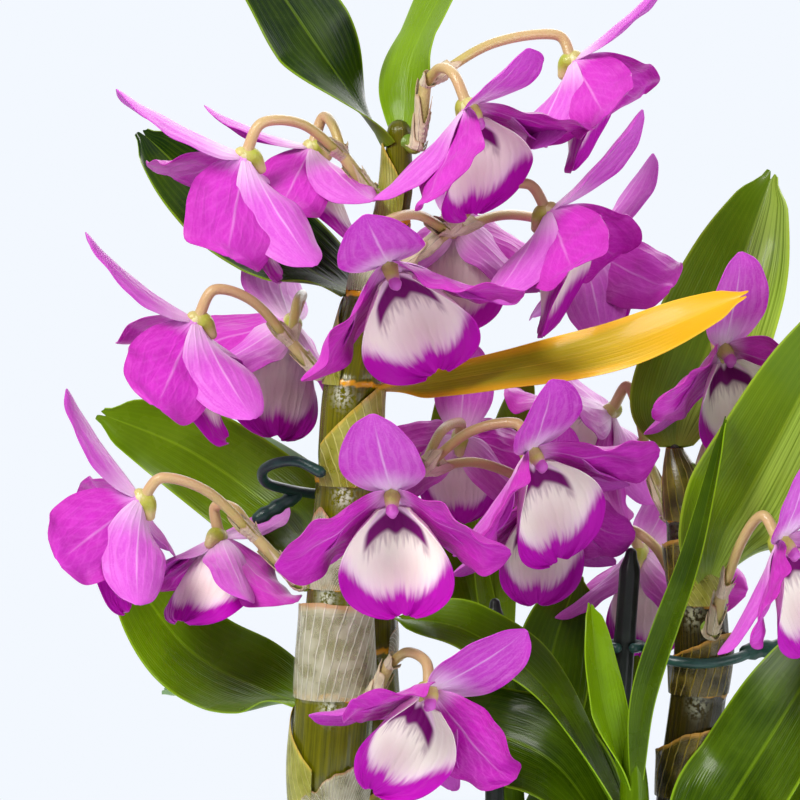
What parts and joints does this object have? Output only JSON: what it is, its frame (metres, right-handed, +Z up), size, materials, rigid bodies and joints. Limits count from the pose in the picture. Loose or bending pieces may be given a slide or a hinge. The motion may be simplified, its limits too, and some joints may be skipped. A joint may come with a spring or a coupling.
{
  "type": "potted dendrobium orchid",
  "caption": "Flowering noble dendrobium orchid in a pot: jointed canes with strap leaves, short sprays of magenta blooms with pale lips, held up by slim stakes and wire clips",
  "frame": {"origin": "middle of the pot's foot", "axes": "+Z up, front of the plant faces -Y, +X to the right seen from the front"},
  "size_m": [0.255, 0.1586, 0.4772],
  "materials": {
    "pot": "unglazed terracotta, matt",
    "bark": "damp bark chips, rough",
    "stake": "dark green coated stake, satin",
    "clip": "dark green coated wire, smooth",
    "cane": "olive green waxy cane with papery sheaths",
    "leaf": "leathery green leaf, semi-gloss",
    "yellow_leaf": "ageing yellow leaf, semi-gloss",
    "petal": "magenta petals with paler veins, satin",
    "lip": "cream lip with a purple rim and throat band, velvety"
  },
  "bodies": {
    "root": {"cane_back": "cane", "cane_main": "cane", "cane_side": "cane", "clip_left": "clip", "clip_right": "clip", "leaf_back_low": "leaf", "leaf_back_narrow": "leaf", "leaf_lower_left": "leaf", "leaf_middle_left": "leaf", "leaf_side_front": "leaf", "leaf_side_low": "leaf", "leaf_side_tall": "leaf", "leaf_side_upright": "leaf", "leaf_top_left": "leaf", "leaf_top_right": "leaf", "leaf_upper_left": "leaf", "leaf_yellow": "yellow_leaf", "lip_lower_left_1": "lip", "lip_lower_left_2": "lip", "lip_lower_right_1": "lip", "lip_middle_left_1": "lip", "lip_middle_left_2": "lip", "lip_middle_right_1": "lip", "lip_middle_right_2": "lip", "lip_middle_right_3": "lip", "lip_middle_right_4": "lip", "lip_side_back_1": "lip", "lip_side_left_1": "lip", "lip_side_right_1": "lip", "lip_side_top_1": "lip", "lip_top_1": "lip", "lip_top_2": "lip", "lip_upper_left_1": "lip", "lip_upper_left_2": "lip", "lip_upper_right_1": "lip", "lip_upper_right_2": "lip", "lip_upper_right_3": "lip", "lip_upper_right_4": "lip", "pot": "pot", "potting_bark": "bark", "shoot_rear": "leaf", "shoot_young": "leaf", "spray_lower_left": "petal", "spray_lower_right": "petal", "spray_middle_left": "petal", "spray_middle_right": "petal", "spray_side_back": "petal", "spray_side_left": "petal", "spray_side_right": "petal", "spray_side_top": "petal", "spray_top": "petal", "spray_upper_left": "petal", "spray_upper_right": "petal", "stake_left": "stake", "stake_middle": "stake", "stake_right": "stake"}
  },
  "joints": []
}
